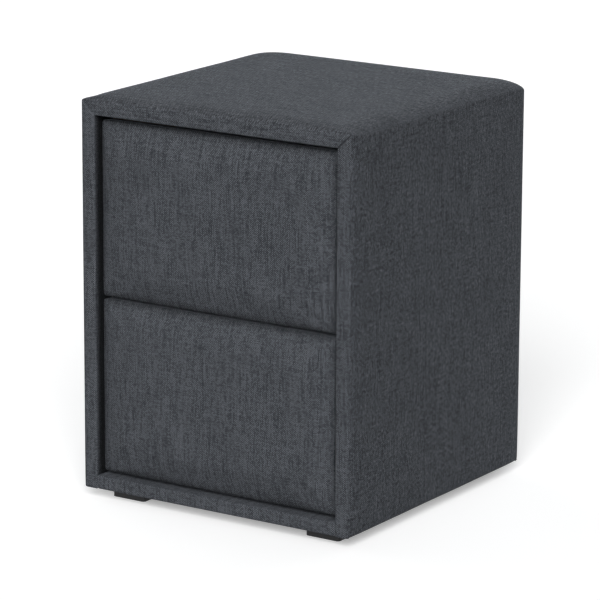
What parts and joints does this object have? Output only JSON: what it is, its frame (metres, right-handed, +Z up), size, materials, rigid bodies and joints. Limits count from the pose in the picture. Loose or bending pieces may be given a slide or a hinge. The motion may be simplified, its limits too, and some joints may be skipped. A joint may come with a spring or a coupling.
{
  "type": "nightstand with drawers",
  "caption": "Upholstered bedside cabinet with padded push-to-open drawers on ball runners, a crowned padded top and flat feet.",
  "frame": {"origin": "on the floor under the middle of the cabinet's box", "axes": "+Z up, the drawers open towards -Y, +X to the right seen from the front"},
  "size_m": [0.404, 0.42, 0.529],
  "materials": {
    "cover_fabric": "woven linen-look upholstery, dark grey",
    "foam": "upholstery foam",
    "carcass_board": "raw fibreboard",
    "back_board": "dark coated hardboard",
    "drawer_board": "grey foil-faced board",
    "dowel_wood": "beech",
    "runner_steel": "zinc plated",
    "screw_steel": "zinc plated",
    "foot_plastic": "black moulded plastic",
    "latch_plastic": "grey moulded plastic"
  },
  "bodies": {
    "carcass": {"side_panel_right": "carcass_board", "side_panel_left": "carcass_board", "top_panel": "carcass_board", "base_panel": "carcass_board", "back_panel": "back_board", "carcass_screws": "screw_steel", "back_panel_pins": "screw_steel", "top_padding": "foam", "side_padding_right": "foam", "side_padding_left": "foam", "carcass_cover": "cover_fabric", "bottom_edge_cover": "cover_fabric", "foot_front_right": "foot_plastic", "foot_front_left": "foot_plastic", "foot_rear_right": "foot_plastic", "foot_rear_left": "foot_plastic", "foot_screws": "screw_steel", "runner_and_latch_screws": "screw_steel", "lower_runner_cabinet_right": "runner_steel", "lower_runner_cabinet_left": "runner_steel", "lower_latch_housing": "latch_plastic", "upper_runner_cabinet_right": "runner_steel", "upper_runner_cabinet_left": "runner_steel", "upper_latch_housing": "latch_plastic"},
    "lower_drawer": {"lower_front_board": "carcass_board", "lower_front_padding": "foam", "lower_front_cover": "cover_fabric", "lower_box_front": "drawer_board", "lower_box_back": "drawer_board", "lower_box_right": "drawer_board", "lower_box_left": "drawer_board", "lower_box_bottom": "drawer_board", "lower_box_dowels": "dowel_wood", "lower_drawer_screws": "screw_steel", "lower_runner_drawer_right": "runner_steel", "lower_runner_drawer_left": "runner_steel"},
    "lower_runner_middles": {"lower_runner_middle_right": "runner_steel", "lower_runner_middle_left": "runner_steel"},
    "lower_outer_cages": {"lower_outer_ball_cages": "runner_steel"},
    "lower_inner_cages": {"lower_inner_ball_cages": "runner_steel"},
    "lower_latch_plunger": {"lower_latch_plunger": "latch_plastic"},
    "upper_drawer": {"upper_front_board": "carcass_board", "upper_front_padding": "foam", "upper_front_cover": "cover_fabric", "upper_box_front": "drawer_board", "upper_box_back": "drawer_board", "upper_box_right": "drawer_board", "upper_box_left": "drawer_board", "upper_box_bottom": "drawer_board", "upper_box_dowels": "dowel_wood", "upper_drawer_screws": "screw_steel", "upper_runner_drawer_right": "runner_steel", "upper_runner_drawer_left": "runner_steel"},
    "upper_runner_middles": {"upper_runner_middle_right": "runner_steel", "upper_runner_middle_left": "runner_steel"},
    "upper_outer_cages": {"upper_outer_ball_cages": "runner_steel"},
    "upper_inner_cages": {"upper_inner_ball_cages": "runner_steel"},
    "upper_latch_plunger": {"upper_latch_plunger": "latch_plastic"}
  },
  "joints": [
    {"name": "lower_drawer_slide", "type": "slide", "parent": "carcass", "child": "lower_drawer", "axis": [0, -1, 0], "range_m": [0, 0.285]},
    {"name": "lower_runner_middles_slide", "type": "slide", "parent": "carcass", "child": "lower_runner_middles", "axis": [0, -1, 0], "range_m": [0, 0.1425]},
    {"name": "lower_outer_cages_slide", "type": "slide", "parent": "carcass", "child": "lower_outer_cages", "axis": [0, -1, 0], "range_m": [0, 0.07125]},
    {"name": "lower_inner_cages_slide", "type": "slide", "parent": "carcass", "child": "lower_inner_cages", "axis": [0, -1, 0], "range_m": [0, 0.21375]},
    {"name": "lower_latch_press", "type": "slide", "parent": "carcass", "child": "lower_latch_plunger", "axis": [0, -1, 0], "range_m": [-0.003, 0], "stiffness_N_per_m": 400},
    {"name": "upper_drawer_slide", "type": "slide", "parent": "carcass", "child": "upper_drawer", "axis": [0, -1, 0], "range_m": [0, 0.285]},
    {"name": "upper_runner_middles_slide", "type": "slide", "parent": "carcass", "child": "upper_runner_middles", "axis": [0, -1, 0], "range_m": [0, 0.1425]},
    {"name": "upper_outer_cages_slide", "type": "slide", "parent": "carcass", "child": "upper_outer_cages", "axis": [0, -1, 0], "range_m": [0, 0.07125]},
    {"name": "upper_inner_cages_slide", "type": "slide", "parent": "carcass", "child": "upper_inner_cages", "axis": [0, -1, 0], "range_m": [0, 0.21375]},
    {"name": "upper_latch_press", "type": "slide", "parent": "carcass", "child": "upper_latch_plunger", "axis": [0, -1, 0], "range_m": [-0.003, 0], "stiffness_N_per_m": 400}
  ],
  "couplings": [
    {"joint": "lower_runner_middles_slide", "follows": "lower_drawer_slide", "ratio": 0.5},
    {"joint": "lower_outer_cages_slide", "follows": "lower_drawer_slide", "ratio": 0.25},
    {"joint": "lower_inner_cages_slide", "follows": "lower_drawer_slide", "ratio": 0.75},
    {"joint": "upper_runner_middles_slide", "follows": "upper_drawer_slide", "ratio": 0.5},
    {"joint": "upper_outer_cages_slide", "follows": "upper_drawer_slide", "ratio": 0.25},
    {"joint": "upper_inner_cages_slide", "follows": "upper_drawer_slide", "ratio": 0.75}
  ]
}
